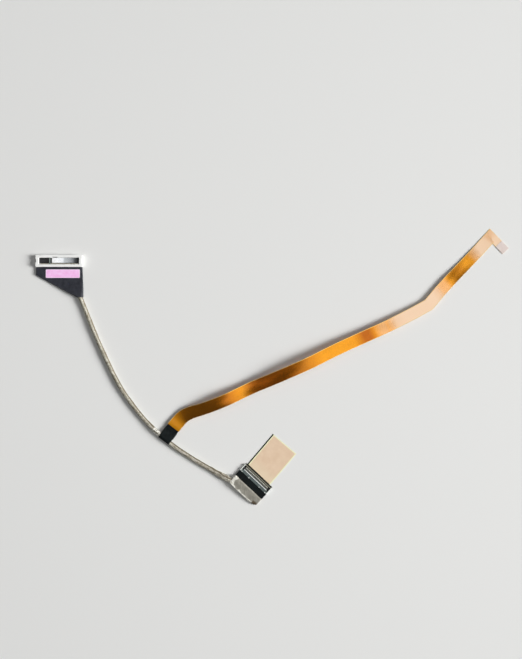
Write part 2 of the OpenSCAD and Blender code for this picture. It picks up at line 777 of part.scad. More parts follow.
module to_lcd() {
    rotate([0, 0, -lcd_heading]) translate(concat(-lcd_at, 0)) children();
}

module lcd_foil_wrap() {
    mouth = lcd_l / 2 - 0.7;
    mouth_gap = [0.1, 0.06];
    color([0.63, 0.6, 0.55]) at_lcd() difference() {
        wrapped_wires(0, 0);
        wrapped_wires(wrap_t, wrap_t);
        block([-mouth, wrap_front - 0.6, lcd_body_top - mouth_gap[0]],
            [mouth, wrap_front + 1, strap_z + mouth_gap[1]]);
        to_lcd() bundle_hole(bundle_last, bundle_end, 0.6);
    }
}

// A comb of wires from the contacts that gathers into one pad in the wrap
module lcd_wires() {
    overlap = 0.2;
    pad_gap = 1;
    pad_from = (lcd_end_room - 0.3) / (wrap_x1 - wrap_x0);
    color([0.2, 0.3, 0.55]) at_lcd() {
        for (x = lcd_contact_xs()) {
            wire(x, wrap_front - pad_gap - overlap, lcd_contact_rear - fit, lcd_wire_z, lcd_wire_d);
        }
        wrapped_wires(wrap_t + fit, pad_gap, pad_from);
    }
}

module lcd_ground_bar() {
    half = (lcd_ways - 1) / 2 * lcd_pitch + 0.4;
    front = lcd_contact_rear - ground_bar_gap;
    color([0.85, 0.85, 0.82]) at_lcd()
        block([-half, front - ground_bar_w, strap_z], [half, front, strap_z + ground_bar_t]);
}

// Tape arched over the wires behind the plug, down to the flag on both sides
module lcd_tape_band() {
    half = lcd_l / 2 - 0.05;
    top = band_h;
    bend = 0.3;
    inner_bend = bend + 0.4 * tape_t;
    color([0.06, 0.07, 0.07]) at_lcd() translate([0, band_front - fit, 0]) rotate([90, 0, 0])
        linear_extrude(band_w - fit) polygon([
            [-half, flag_t], [-half, top - bend], [-half + bend, top], [half - bend, top],
            [half, top - bend], [half, flag_t], [half - tape_t, flag_t], [half - tape_t, top - inner_bend],
            [half - inner_bend, top - tape_t], [-half + inner_bend, top - tape_t],
            [-half + tape_t, top - inner_bend], [-half + tape_t, flag_t]
        ]);
}

// Backing tape: under the plug and the band, then on beyond the front
module lcd_tape_flag() {
    half = lcd_l / 2 - 0.05;
    color([0.08, 0.09, 0.09]) at_lcd() linear_extrude(flag_t) {
        translate([-half, band_rear + fit]) square([2 * half, band_w + lcd_w - fit]);
        at_flag() translate([-flag_margin, -0.5]) square([liner_w + flag_margin, liner_l + 0.5]);
    }
}

// The flag's own corner, at the plug's front edge
module at_flag() {
    translate([-liner_w / 2 - 0.3, lcd_w / 2, 0]) rotate([0, 0, flag_turn]) children();
}

// A sheet on the flag, its near edge cut along the plug's front
module flag_sheet(z, t, margin) {
    at_lcd() translate([0, 0, z]) linear_extrude(t) difference() {
        at_flag() translate([margin, -2]) square([liner_w - 2 * margin, liner_l + 2 - margin]);
        translate([-lcd_l, -lcd_w]) square([2 * lcd_l, 1.5 * lcd_w + liner_gap + margin]);
    }
}

module lcd_adhesive() {
    color([0.93, 0.93, 0.9]) flag_sheet(flag_t, adhesive_t, 0.3);
}

module release_liner() {
    color([0.87, 0.76, 0.65]) flag_sheet(flag_t + adhesive_t, liner_t, 0);
}

board_housing();
board_insert();
board_contacts();
board_shield();
board_wires();
board_ground_bar();
board_tape();
board_label();
bundle();
foil_band();
splice_tape();
splice_wires();
flex_tail_stiffener();
flex();
tip_stiffener();
tip_contacts();
lcd_shell();
lcd_body();
lcd_contacts();
lcd_wires();
lcd_ground_bar();
lcd_tape_band();
lcd_foil_wrap();
lcd_tape_flag();
lcd_adhesive();
release_liner();
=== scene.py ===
"""Display cable with a flat flex branch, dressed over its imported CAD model.

Lengths are in metres, in the CAD's own frame: Z = 0 is the table, and the
origin is the middle of the footprint. Places come from the CAD's boxes, and
the two routes repeat the ones that the CAD solids follow.
"""

import json
import math

import bmesh
import bpy
from mathutils import Matrix, Vector, noise

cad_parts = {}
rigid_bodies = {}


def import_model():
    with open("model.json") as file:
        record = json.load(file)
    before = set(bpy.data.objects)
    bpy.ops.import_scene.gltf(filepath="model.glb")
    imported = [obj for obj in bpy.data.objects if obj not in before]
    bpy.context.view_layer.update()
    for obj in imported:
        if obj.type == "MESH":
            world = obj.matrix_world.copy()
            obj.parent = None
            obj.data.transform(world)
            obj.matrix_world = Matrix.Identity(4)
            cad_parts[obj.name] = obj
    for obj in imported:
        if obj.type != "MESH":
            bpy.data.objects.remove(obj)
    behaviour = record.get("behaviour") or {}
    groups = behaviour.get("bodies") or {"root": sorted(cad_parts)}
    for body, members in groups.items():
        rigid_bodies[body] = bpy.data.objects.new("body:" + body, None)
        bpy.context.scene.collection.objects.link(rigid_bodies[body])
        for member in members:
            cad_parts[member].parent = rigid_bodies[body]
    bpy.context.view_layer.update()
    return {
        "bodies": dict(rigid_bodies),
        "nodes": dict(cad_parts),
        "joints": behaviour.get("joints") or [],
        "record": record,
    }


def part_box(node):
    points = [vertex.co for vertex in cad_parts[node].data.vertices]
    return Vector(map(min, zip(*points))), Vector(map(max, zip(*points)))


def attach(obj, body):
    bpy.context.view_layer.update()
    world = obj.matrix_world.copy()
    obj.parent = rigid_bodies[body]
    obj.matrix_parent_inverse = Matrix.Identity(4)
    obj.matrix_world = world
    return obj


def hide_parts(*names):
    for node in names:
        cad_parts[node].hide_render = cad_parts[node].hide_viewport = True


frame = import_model()

MM = 0.001
NODES = frame["nodes"]

# ------------------------------------------------------------------ sizes

TAPE_T = 0.12 * MM
WRAP_LIFT = 0.22 * MM          # how far a wrap lifts the bundle off the table

# Bundle
BUNDLE_R = 1.2 * MM
BUNDLE_STEP = 0.4 * MM         # between the rings of its mesh
# Its route: x, y in mm, and 1 where a wrap lifts it
BUNDLE_ROUTE = [
    (-104, 38.5, 1), (-103, 36, 1), (-101, 31, 0), (-98.5, 24.5, 0), (-96, 18.5, 0),
    (-93.5, 12.5, 0), (-90.5, 6, 0), (-87.5, -0.5, 0), (-84.5, -6.5, 0), (-80.5, -13.5, 0),
    (-75.5, -20.5, 0), (-69.5, -28, 0), (-63, -34.5, 1), (-58, -38.8, 1), (-52.5, -43.3, 0),
    (-46, -47.6, 0), (-39, -52, 0), (-31.5, -56.3, 0), (-25.5, -59.7, 1), (-21.5, -61.8, 1),
]

# Cloth round the bundle. Each lap is the end of an overlapping turn: its place
# in mm, how far it stands out in mm, and the direction that its slant faces.
CLOTH_LAPS = [(15, 0.12, 0.6), (33, 0.1, 2.0), (47, 0.06, 1.2), (62.5, 0.12, 0.2), (78, 0.12, 1.4),
              (97, 0.07, 0.9), (110, 0.09, 2.6), (121, 0.14, 0.4), (126, 0.12, 1.7), (130, 0.1, 0.9)]
LAP_FADE = 9 * MM
LAP_SLANT = 0.9 * MM
LAP_EDGE = 0.25 * MM           # length over which a lap rises
SEAM_AT = math.radians(148)    # long seam of the cloth, round from the side where its map starts
SEAM_LIP = 0.14 * MM
SEAM_SPAN = 1.1                # angle over which the lip falls away
# Its last turns before the display plug are lumpy, and pressed wider
LUMPS, LUMPS_FROM_END, LUMPS_REACH = 0.2 * MM, 5 * MM, 8 * MM
FLAT_SHARE, FLAT_FROM_END, FLAT_REACH = 0.24, 4 * MM, 6 * MM

# Splice tape, and the foil turn beside it
SPLICE_I = 13                  # place in the route where the splice sits
SPLICE_HEADING = math.radians(53)
SPLICE_LEN = 7.5 * MM
SPLICE_W = 7 * MM
SPLICE_EXIT_Z = 1.2 * MM       # the flex's lower face where it leaves the splice
SPLICE_FALL = (0.2 * MM, 5.4 * MM)    # between which the tape comes down to the flex
SPLICE_EDGE_R = 0.24 * MM
TAIL_PAD = 0.24 * MM           # stiffener and solder under the flex's tail
FOIL_BAND_LEN = 4.6 * MM
FOIL_BAND_GAP = 0.16 * MM      # middle of the foil turn above the bundle
FOIL_FOLD = 0.14 * MM
FOIL_SPACE = 0.15 * MM         # between the foil turn and the splice tape

# Flex
FLEX_W = 6.5 * MM
FLEX_TAIL_W = 7.5 * MM
FLEX_NARROWS = (3, 11)         # points of the CAD's path between which it narrows
FLEX_T = 0.18 * MM
ARM_W = 4.6 * MM
TAIL_START = BUNDLE_R + 0.8 * MM
TAIL_INSET = 0.15 * MM         # how far the tail's sides stay inside the splice tape
TAIL_STOP = 0.3 * MM           # how far inside the tape's end the tail's own points stop
FLEX_COLUMNS = 13              # points across its top and across its underside
# Its route after the splice: x, y and z of the lower face, in mm
FLEX_ROUTE = [
    (-51, -29.85, 1.1), (-48.2, -26.9, 1.3), (-44.1, -24.7, 2.0), (-38.95, -23.1, 2.9),
    (-33.5, -21.2, 3.8), (-28, -19, 4.4), (-22, -16.4, 4.2), (-16, -13.5, 3.6),
    (-10, -10.7, 3.4), (-3, -7.8, 3.8), (5, -4.4, 4.4), (13, -0.9, 4.9), (21, 2.7, 4.9),
    (29, 6.7, 4.5), (37, 10.6, 4.0), (45, 14.2, 3.5), (53, 17.8, 3.1), (61, 21.4, 2.8),
    (69, 25.4, 2.5), (77, 29.5, 2.1),
]
# First corner, the straight reach after it, and the end corner, in mm
FLEX_REACH = [(84.2, 33.5, 1.7), (90.5, 41, 1.3), (97, 48, 1.0), (104, 55.2, 0.6),
              (111, 62.6, 0.3), (118.1, 70.5, 0.04)]
ARM_HEADING = math.radians(-46)
ARM_LEN = 11.2 * MM
FLEX_END = 0.2213              # length of its middle line, to its tip
# Places along the flex, in mm, and how far its film is painted pale as a highlight, and made hazy, there
PAINTED_HIGHLIGHT_HAZE = [(0, 0), (126, 0), (130, 0.3), (133, 0.35), (135, 0.2), (137.5, 0.45), (140.5, 0.9), (146, 1),
        (165, 1), (168, 0.8), (171, 0.35), (174.5, 0.3), (176.7, 0), (193.5, 0), (196.6, 0.4), (200, 1),
        (206.5, 0.95), (209, 0.6), (212, 1), (221, 1)]
# Ripples that the film keeps from its roll: place along it, height and width, in mm
RIPPLES = [(7, 0.15, 3), (41, 0.24, 5), (50, -0.2, 7), (76, 0.35, 12), (86, 0.24, 7), (175.5, 0.3, 6)]
# Places along it, in mm, and how much painted shade darkens its copper there
PAINTED_SHADE = [(0, 0), (9, 0), (15, 0.5), (31, 0.6), (38, 0.75), (43, 0.5), (48, 0.1), (54, 0.85), (60, 1), (67, 0.95),
           (78, 0.85), (84, 0.6), (91, 0.4), (96, 0), (114, 0), (120, 1), (123, 1), (127.5, 0), (176, 0),
           (180, 0.3), (185, 0.3), (189, 0)]

# Board plug, measured from the middle of the housing
NECK_OFFSET = 11.45 * MM
NECK_W = 3.4 * MM
NECK_H = 2 * (BUNDLE_R + WRAP_LIFT)
BOARD_TAPE_H = 1.3 * MM
BOARD_WALL = 1.4 * MM          # thickness of the housing's long walls
KEY_RIB_X = -4.9 * MM
KEY_RIB_T = 0.5 * MM
BOARD_TAPE_SHOULDER = 4.4 * MM
BOARD_TAPE_FLAT = 6.1 * MM     # flat part of the tape, under the label
BOARD_TAPE_RIBS = 26           # wires that press through it
BOARD_TAPE_RIB = 0.05 * MM
BOARD_TAPE_FOLD = 0.12 * MM

# Display plug, measured from the middle of its shell
LCD_HEADING = math.radians(-43.3)
CONTACT_ROW_Y = 0.2 * MM       # middle of the contact row
LCD_L = 19.4 * MM
LCD_W = 5 * MM
BAND_W = 3.6 * MM
WRAP_DEPTH = 5.65 * MM
LINER_W = 16 * MM
LINER_L = 21.2 * MM
FLAG_TURN = math.radians(2.9)
FLAG_SHIFT = 0.3 * MM          # how far the flag sits to the left of the plug's middle
WRAP_FALL = 0.4                # share of its height that the silver wrap loses
WRAP_EDGE_R = 0.5 * MM
WRAP_BULGE = 0.15 * MM
WRAP_CREASE = 0.05 * MM

# Camera: straight above, and the half height of the table that it sees
CAMERA_AT = Vector((-6.2, 20.1, 600)) * MM
VIEW_HALF_HEIGHT = 177.95 * MM

# Light: a window low on the right, and a softbox above that the film reflects
WORLD_COLOUR, WORLD_LEVEL = (0.97, 0.985, 1, 1), 0.11
WINDOW_AT, WINDOW_SIZE, WINDOW_WATTS = (3.2, -0.2, 1.8), (1.5, 1.7), 21.4
WINDOW_SPREAD = math.radians(50)
SOFTBOX_AT, SOFTBOX_SIZE, SOFTBOX_WATTS = (-0.015, 0.15, 1.0), (0.77, 0.4), 1.2
FLOOR_HALF = 3.0

SHARP = 35                     # degrees from which an edge of a CAD mesh is sharp

# ---------------------------------------------------------------- helpers


def mix(a, b, t):
    return a + (b - a) * t


def clamp(t):
    return min(max(t, 0.0), 1.0)


def ease(t):
    t = clamp(t)
    return t * t * (3 - 2 * t)


def bell(x, width):
    """A smooth hump, 1 at x = 0 and near 0 beyond two widths."""
    return math.exp(-((x / width) ** 2))


def heading(angle):
    return Vector((math.cos(angle), math.sin(angle)))


def rgb(r, g, b):
    """A display colour of 0-255 channels as a linear colour."""
    linear = [(c / 12.92 if c <= 0.04045 else ((c + 0.055) / 1.055) ** 2.4)
              for c in (r / 255, g / 255, b / 255)]
    return (*linear, 1.0)


def smooth(points, steps):
    """A Catmull-Rom curve through the points, as the CAD routes use."""
    out = []
    last = len(points) - 1
    for i in range(last):
        a, b, c, d = (points[j] for j in (max(i - 1, 0), i, i + 1, min(i + 2, last)))
        for k in range(steps):
            t = k / steps
            out.append((2 * b + (c - a) * t + (2 * a - 5 * b + 4 * c - d) * t ** 2
                        + (3 * b - a - 3 * c + d) * t ** 3) / 2)
    return out + [points[last]]


def resample(path, step):
    """Points every step along a polyline, its two ends included."""
    lengths = [(b - a).length for a, b in zip(path, path[1:])]
    total = sum(lengths)
    count = max(2, round(total / step))
    out, i, done = [], 0, 0.0
    for k in range(count):
        want = total * k / count
        while want > done + lengths[i]:
            done += lengths[i]
            i += 1
        out.append(path[i].lerp(path[i + 1], (want - done) / lengths[i]))
    return out + [path[-1]]


def even_ring(ring, count):
    """A closed polygon of 2D points with count points at equal steps."""
    closed = [Vector(p) for p in ring] + [Vector(ring[0])]
    return resample(closed, sum((b - a).length for a, b in zip(closed, closed[1:])) / count)[:count]


def round_rect(x0, x1, z0, z1, r, steps=5):
    """Corner points of a rounded rectangle, anticlockwise from the right side."""
    out = []
    for q, (cx, cz) in enumerate([(x1 - r, z1 - r), (x0 + r, z1 - r), (x0 + r, z0 + r), (x1 - r, z0 + r)]):
        for k in range(steps + 1):
            a = math.pi / 2 * (q + k / steps)
            out.append((cx + r * math.cos(a), cz + r * math.sin(a)))
    return out


def finish_piece(obj, material):
    """Every piece is given its material and slot, and rides on the body."""
    obj.data.materials.clear()
    obj.data.materials.append(material)
    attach(obj, "root")
    return obj


def mesh_object(name, verts, faces, uvs, smooth_angle):
    """A mesh object from lists; uvs gives one (u, v) for each vertex."""
    mesh = bpy.data.meshes.new(name)
    mesh.from_pydata([tuple(v) for v in verts], [], faces)
    layer = mesh.uv_layers.new(name="along")
    for loop in mesh.loops:
        layer.data[loop.index].uv = uvs[loop.vertex_index]
    mesh.validate()
    mesh.shade_smooth()
    mesh.set_sharp_from_angle(angle=math.radians(smooth_angle))
    obj = bpy.data.objects.new(name, mesh)
    bpy.context.scene.collection.objects.link(obj)
    return obj


def ring_map(rings):
    """A map in metres for a loft: u round the ring and v along the rings."""
    uvs, along = [], 0.0
    for i, ring in enumerate(rings):
        if i:
            along += (ring[0] - rings[i - 1][0]).length
        around = 0.0
        for j, p in enumerate(ring):
            if j:
                around += (p - ring[j - 1]).length
            uvs.append((around, along))
    return uvs


def loft(name, rings, smooth_angle=40, uvs=None):
    """A closed solid through rings of equal length."""
    m = len(rings[0])
    verts = [p for ring in rings for p in ring]
    faces = [tuple(reversed(range(m)))]
    for i in range(len(rings) - 1):
        for j in range(m):
            k = (j + 1) % m
            faces.append((i * m + j, i * m + k, (i + 1) * m + k, (i + 1) * m + j))
    faces.append(tuple(range((len(rings) - 1) * m, len(rings) * m)))
    obj = mesh_object(name, verts, faces, uvs or ring_map(rings), smooth_angle)
    bm = bmesh.new()
    bm.from_mesh(obj.data)
    bmesh.ops.recalc_face_normals(bm, faces=bm.faces)
    bm.to_mesh(obj.data)
    bm.free()
    return obj


def dressed(node, name, material, bevel=0.03 * MM, segments=2):
    """A copy of a CAD node with its edges rounded, standing for the node."""
    mesh = NODES[node].data.copy()
    mesh.name = name
    bm = bmesh.new()
    bm.from_mesh(mesh)
    bmesh.ops.remove_doubles(bm, verts=bm.verts, dist=1e-7)
    bmesh.ops.dissolve_limit(bm, angle_limit=math.radians(1), verts=bm.verts, edges=bm.edges)
    bm.to_mesh(mesh)
    bm.free()
    mesh.shade_smooth()
    mesh.set_sharp_from_angle(angle=math.radians(SHARP))
    obj = bpy.data.objects.new(name, mesh)
    bpy.context.scene.collection.objects.link(obj)
    rounded = obj.modifiers.new("edges", "BEVEL")
    rounded.width = bevel
    rounded.segments = segments
    rounded.limit_method = "ANGLE"
    rounded.angle_limit = math.radians(SHARP)
    rounded.harden_normals = True
    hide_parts(node)
    return finish_piece(obj, material)


def paint(node, material):
    """A CAD node that keeps its own mesh gets a material."""
    mesh = NODES[node].data
    mesh.materials.clear()
    mesh.materials.append(material)


def crumple(x, y, seed, folds=9, cell=2.2 * MM):
    """Height of crumpled sheet, about -1 to 1: sharp folds in many directions."""
    total, weight = 0.0, 0.0
    for k in range(folds):
        a = seed + k * 2.399
        size = cell * (0.9 ** k) * (1 + 0.4 * math.sin(5 * a))
        warp = 0.6 * noise.noise(Vector((x / cell * 0.5, y / cell * 0.5, seed + k)))
        phase = (x * math.cos(a) + y * math.sin(a)) / size + warp + math.sin(7 * a)
        total += size * (4 * abs(phase - math.floor(phase + 0.5)) - 1)
        weight += size
    return total / weight * 2

# ------------------------------------------------------------------ places


def board_place():
    """Middle of the board housing's footprint."""
    lo, hi = (Vector(c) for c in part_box("board_housing"))
    return Vector(((lo.x + hi.x) / 2, (lo.y + hi.y) / 2, 0)), hi - lo


def lcd_place():
    """Frame of the display plug: X along the shell and Y towards the liner."""
    lo, hi = (Vector(c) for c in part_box("lcd_contacts"))
    turn = Matrix.Rotation(LCD_HEADING, 4, "Z")
    middle = Vector(((lo.x + hi.x) / 2, (lo.y + hi.y) / 2, 0))
    return Matrix.Translation(middle - turn @ Vector((0, CONTACT_ROW_Y, 0))) @ turn


BOARD_AT, BOARD_SIZE = board_place()
LCD = lcd_place()


def bundle_path():
    points = [Vector((x * MM, y * MM, BUNDLE_R + lift * WRAP_LIFT)) for x, y, lift in BUNDLE_ROUTE]
    return [Vector((p.x, p.y, max(p.z, BUNDLE_R))) for p in smooth(points, 8)]


def splice_frame():
    """Frame of the splice: X along the flex, origin on the bundle's middle."""
    x, y, _ = BUNDLE_ROUTE[SPLICE_I]
    return Matrix.Translation((x * MM, y * MM, 0)) @ Matrix.Rotation(SPLICE_HEADING, 4, "Z")


def flex_path():
    """The lower face's centre line, and its first point after the end corner."""
    splice = splice_frame()
    tail = [splice @ Vector((s, 0, SPLICE_EXIT_Z)) for s in (TAIL_START, SPLICE_LEN - TAIL_STOP)]
    free = [splice @ Vector((SPLICE_LEN, 0, SPLICE_EXIT_Z))]
    free += [Vector(p) * MM for p in FLEX_ROUTE + FLEX_REACH[:1]]
    reach = [Vector(p) * MM for p in FLEX_REACH]
    tip = reach[-1] + (ARM_LEN * heading(ARM_HEADING)).to_3d()
    path = tail + smooth(free, 6)
    for a, b in zip(reach, reach[1:]):
        path += [a.lerp(b, k / 8) for k in range(1, 9)]
    corner = len(path)
    path += [reach[-1].lerp(tip, k / 12) for k in range(1, 13)]
    return path, corner

# --------------------------------------------------------------- materials


class Look:
    """One material, built in short calls round its Principled shader."""

    def __init__(self, name, **sockets):
        self.material = bpy.data.materials.new(name)
        self.material.use_nodes = True
        self.tree = self.material.node_tree
        self.shader = self.tree.nodes["Principled BSDF"]
        for socket, value in sockets.items():
            self.shader.inputs[socket.replace("_", " ")].default_value = value

    def node(self, kind, inputs=(), **settings):
        made = self.tree.nodes.new(kind)
        for key, value in settings.items():
            setattr(made, key, value)
        for key, value in dict(inputs).items():
            if isinstance(value, bpy.types.NodeSocket):
                self.tree.links.new(value, made.inputs[key])
            else:
                made.inputs[key].default_value = value
        return made

    def into(self, socket, value):
        self.tree.links.new(value, self.shader.inputs[socket])

    def place(self, kind="Object", scale=(1, 1, 1), turn=0.0):
        """Object coordinates in metres, or the piece's own map."""
        source = self.node("ShaderNodeTexCoord").outputs[kind]
        return self.node("ShaderNodeMapping", {"Vector": source, "Scale": scale,
                                               "Rotation": (0, 0, turn)}).outputs["Vector"]

    def place_in(self, frame):
        """Object coordinates as measured in another frame."""
        back = frame.inverted()
        return self.node("ShaderNodeMapping", {"Vector": self.place(), "Location": back.translation,
                                               "Rotation": back.to_euler()}).outputs["Vector"]

    def axis(self, place, name):
        return self.node("ShaderNodeSeparateXYZ", {"Vector": place}).outputs[name]

    def noise(self, size, detail=3.0, rough=0.55, place=None):
        """Soft noise with features of about size metres."""
        where = place or self.place()
        return self.node("ShaderNodeTexNoise", {"Vector": where, "Scale": 1 / size, "Detail": detail,
                                                "Roughness": rough}).outputs["Fac"]

    def bands(self, period, place, direction="X", distortion=0.0):
        """Parallel bands, one every period metres."""
        return self.node("ShaderNodeTexWave", {"Vector": place, "Scale": math.pi / 10 / period,
                                               "Distortion": distortion},
                         wave_type="BANDS", bands_direction=direction).outputs["Fac"]

    def ramp(self, fac, *stops):
        """Stops are (position, colour) or (position, number)."""
        made = self.node("ShaderNodeValToRGB", {"Fac": fac})
        keys = made.color_ramp.elements
        while len(keys) < len(stops):
            keys.new(0.5)
        for key, (position, value) in zip(keys, stops):
            key.position = position
            key.color = value if hasattr(value, "__len__") else (value, value, value, 1)
        return made.outputs["Color"]

    def blend(self, fac, a, b):
        """Colour a where fac is 0, and colour b where it is 1."""
        return self.node("ShaderNodeMix", {"Factor": fac, "A": a, "B": b}, data_type="RGBA").outputs["Result"]

    def math(self, operation, a, b=0.0):
        return self.node("ShaderNodeMath", {0: a, 1: b}, operation=operation).outputs["Value"]

    def span(self, value, low, high):
        """0 where the value is low or less, rising to 1 where it is high."""
        return self.node("ShaderNodeMapRange", {"Value": value, "From Min": low,
                                                "From Max": high}).outputs["Result"]

    def sway(self, noise_value, reach):
        """Noise as an offset, by half of reach either way."""
        return self.math("MULTIPLY", self.math("SUBTRACT", noise_value, 0.5), reach)

    def inside(self, lo, hi, fade, frame=None, ragged=None):
        """1 inside a rectangle seen from above and 0 from fade outside it. frame
        is the matrix of the frame that the rectangle is measured in, and
        ragged moves its edge by so many metres."""
        where = self.place_in(frame) if frame else self.place()
        split = self.node("ShaderNodeSeparateXYZ", {"Vector": where})
        depth = None
        for axis in (0, 1):
            for edge, sign in ((lo[axis], 1), (hi[axis], -1)):
                gap = self.math("MULTIPLY", self.math("SUBTRACT", split.outputs[axis], edge), sign)
                depth = gap if depth is None else self.math("MINIMUM", depth, gap)
        if ragged:
            depth = self.math("ADD", depth, ragged)
        return self.span(depth, -fade, 0.0)

    def bump(self, height, depth, strength=1.0, below=None):
        """Bump whose full height range stands for depth metres."""
        inputs = {"Height": height, "Distance": depth, "Strength": strength}
        if below:
            inputs["Normal"] = below
        return self.node("ShaderNodeBump", inputs).outputs["Normal"]


def moulding_look(name, colour, dark, rough, painted_shade_box=None):
    """Moulded plastic: faint mottling and a fine eroded grain. The optional box
    of space is painted grey as shade: it holds the key rib, which sits in shadow."""
    look = Look(name, IOR=1.5)
    mottle = look.noise(3 * MM, 4)
    grain = look.noise(0.12 * MM, 2)
    base = look.ramp(mottle, (0.3, dark), (0.7, colour))
    if painted_shade_box:
        # painted shade: inside the box the plastic turns grey instead of its own colour
        base = look.blend(look.inside(*painted_shade_box, 0.05 * MM), base, rgb(122, 132, 126))
    look.into("Base Color", base)
    look.into("Roughness", look.ramp(grain, (0.3, rough - 0.06), (0.7, rough + 0.08)))
    look.into("Normal", look.bump(grain, 0.006 * MM))
    return look.material


def metal_look(name, colour, dull, rough, metallic, depth=0.002):
    """Rolled or plated metal: fine grain along one direction, and stains."""
    look = Look(name, Metallic=metallic)
    lines = look.noise(1.0, 3, place=look.place(scale=(1 / (0.04 * MM), 1 / (0.6 * MM), 1 / (0.6 * MM))))
    stains = look.noise(1.6 * MM, 4, 0.65)
    look.into("Base Color", look.ramp(stains, (0.25, dull), (0.65, colour)))
    look.into("Roughness", look.ramp(lines, (0.25, rough - 0.08), (0.75, rough + 0.1)))
    look.into("Normal", look.bump(lines, depth * MM))
    return look.material


def shield_look():
    """Polished plate: a painted reflection, bright at its flat and fading to painted shade towards its far end."""
    look = Look("shield_plate", Metallic=1.0)
    lo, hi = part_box("board_shield")
    share = look.span(look.axis(look.place(), "X"), lo[0], hi[0])
    stains = look.noise(0.9 * MM, 3, 0.6)
    warped = look.math("ADD", share, look.sway(stains, 0.06))
    # painted reflection: near white over the flat, going to near black painted shade at the far end
    look.into("Base Color", look.ramp(warped, (0.0, rgb(250, 250, 250)), (0.42, rgb(228, 231, 234)),
                                      (0.48, rgb(184, 188, 190)), (0.7, rgb(160, 163, 166)),
                                      (0.86, rgb(70, 72, 74)), (0.98, rgb(22, 22, 24))))
    look.into("Roughness", look.ramp(stains, (0.3, 0.24), (0.7, 0.34)))
    look.into("Normal", look.bump(stains, 0.01 * MM, 0.4))
    return look.material


def tape_look(name, colour, light, rough=0.62, shine=0.5):
    """Black cloth tape: a fine weave, rubbed lighter in random patches."""
    look = Look(name, IOR=1.45, Specular_IOR_Level=shine)
    place = look.place()
    weave = look.math("MULTIPLY", look.bands(0.22 * MM, place, "X", 0.6), look.bands(0.22 * MM, place, "Y", 0.6))
    wear = look.noise(1.8 * MM, 5, 0.6)
    creases = look.noise(0.9 * MM, 2, 0.5)
    look.into("Base Color", look.ramp(wear, (0.35, colour), (0.8, light)))
    look.into("Roughness", look.ramp(wear, (0.3, rough + 0.08), (0.75, rough - 0.1)))
    look.into("Normal", look.bump(weave, 0.012 * MM, 0.6, look.bump(creases, 0.05 * MM, 0.5)))
    return look.material


def cloth_look():
    """Conductive cloth round the bundle: metallised weave, painted shade in its creases and folds, and a darker
    line along its seam.
    """
    look = Look("conductive_cloth", Metallic=0.4)
    mapped = look.place("UV")
    weave = look.math("MULTIPLY", look.bands(0.16 * MM, mapped, "X"), look.bands(0.16 * MM, mapped, "Y"))
    folds = look.noise(1.0, 4, 0.6, look.place("UV", (1 / (0.55 * MM), 1 / (5 * MM), 1)))
    wrinkles = look.noise(1.0, 5, 0.65, look.place("UV", (1 / (1.1 * MM), 1 / (1.6 * MM), 1)))
    stains = look.noise(5 * MM, 4, 0.6)
    cloth = look.ramp(stains, (0.3, rgb(186, 181, 165)), (0.7, rgb(216, 212, 198)))
    # painted shade: darker brown in the hollows of the wrinkles and of the folds
    creased = look.blend(look.ramp(wrinkles, (0.38, 0.95), (0.5, 0.0)), cloth, rgb(112, 102, 84))
    streaked = look.blend(look.ramp(folds, (0.4, 0.9), (0.52, 0.0)), creased, rgb(150, 142, 122))
    around = look.math("ADD", look.axis(mapped, "X"), look.sway(stains, 0.6 * MM))
    off = look.math("ABSOLUTE", look.math("SUBTRACT", around, SEAM_AT * BUNDLE_R))
    seam = look.ramp(look.span(off, 0.28 * MM, 0.5 * MM), (0.0, 0.85), (1.0, 0.0))
    look.into("Base Color", look.blend(seam, streaked, rgb(100, 87, 68)))
    look.into("Roughness", look.ramp(folds, (0.3, 0.66), (0.7, 0.5)))
    rough = look.bump(wrinkles, 0.16 * MM, 0.6, look.bump(folds, 0.1 * MM, 0.8))
    look.into("Normal", look.bump(weave, 0.01 * MM, 0.5, rough))
    return look.material


def foil_look(name, light, dark, rough, size, metallic):
    """Crumpled foil: fine creases that catch the light, broad patches of painted highlight and shade, and painted
    shade in its folds.
    """
    look = Look(name, Metallic=metallic)
    creases = look.noise(size, 6, 0.62)
    broad = look.noise(4 * size, 3, 0.5)
    # painted highlight and shade in broad patches, and painted shade in the crease hollows
    sheet = look.ramp(broad, (0.25, dark), (0.45, light))
    look.into("Base Color", look.blend(look.ramp(creases, (0.4, 1.0), (0.5, 0.0)), sheet, dark))
    look.into("Roughness", look.ramp(creases, (0.3, rough + 0.15), (0.7, rough)))
    look.into("Normal", look.bump(creases, 0.14 * MM, 0.7))
    return look.material


def wrap_look():
    """Foil pressed smooth round the wires: soft slanting streaks, a painted highlight
    at its left end and along its rear, and painted brown shade where its corner folds."""
    look = Look("foil_wrap")
    slant = look.place(scale=(1 / (0.9 * MM), 1 / (5 * MM), 1), turn=-LCD_HEADING - 0.5)
    streaks = look.noise(1.0, 4, 0.55, slant)
    fine = look.noise(1.1 * MM, 4, 0.55)
    base = look.ramp(streaks, (0.3, rgb(139, 136, 126)), (0.7, rgb(178, 174, 162)))
    drift = look.sway(look.noise(2.6 * MM, 3, 0.5), 2.8 * MM)
    half, front = LCD_L / 2, -(LCD_W / 2 + BAND_W)
    rear = front - WRAP_DEPTH
    # outside this box, at the left end and along the rear, the foil is painted pale as a highlight
    flat = look.inside((2.6 * MM - half, rear + 1.1 * MM), (half + 3 * MM, front + 1 * MM), 0.5 * MM, LCD, drift)
    # painted shade: brown at the corner where the foil turns under
    fold = look.inside((half - 2.6 * MM, rear), (half + 2 * MM, rear + 1.7 * MM), 0.8 * MM, LCD, drift)
    with_painted_highlight = look.blend(flat, look.ramp(fine, (0.3, rgb(186, 181, 167)), (0.55, rgb(238, 236, 226))), base)
    look.into("Base Color", look.blend(fold, with_painted_highlight, rgb(92, 80, 62)))
    look.into("Metallic", look.ramp(flat, (0.0, 0.15), (1.0, 0.55)))
    look.into("Roughness", look.ramp(streaks, (0.3, 0.52), (0.7, 0.4)))
    look.into("Normal", look.bump(streaks, 0.05 * MM, 0.5, look.bump(fine, 0.03 * MM, 0.4)))
    return look.material


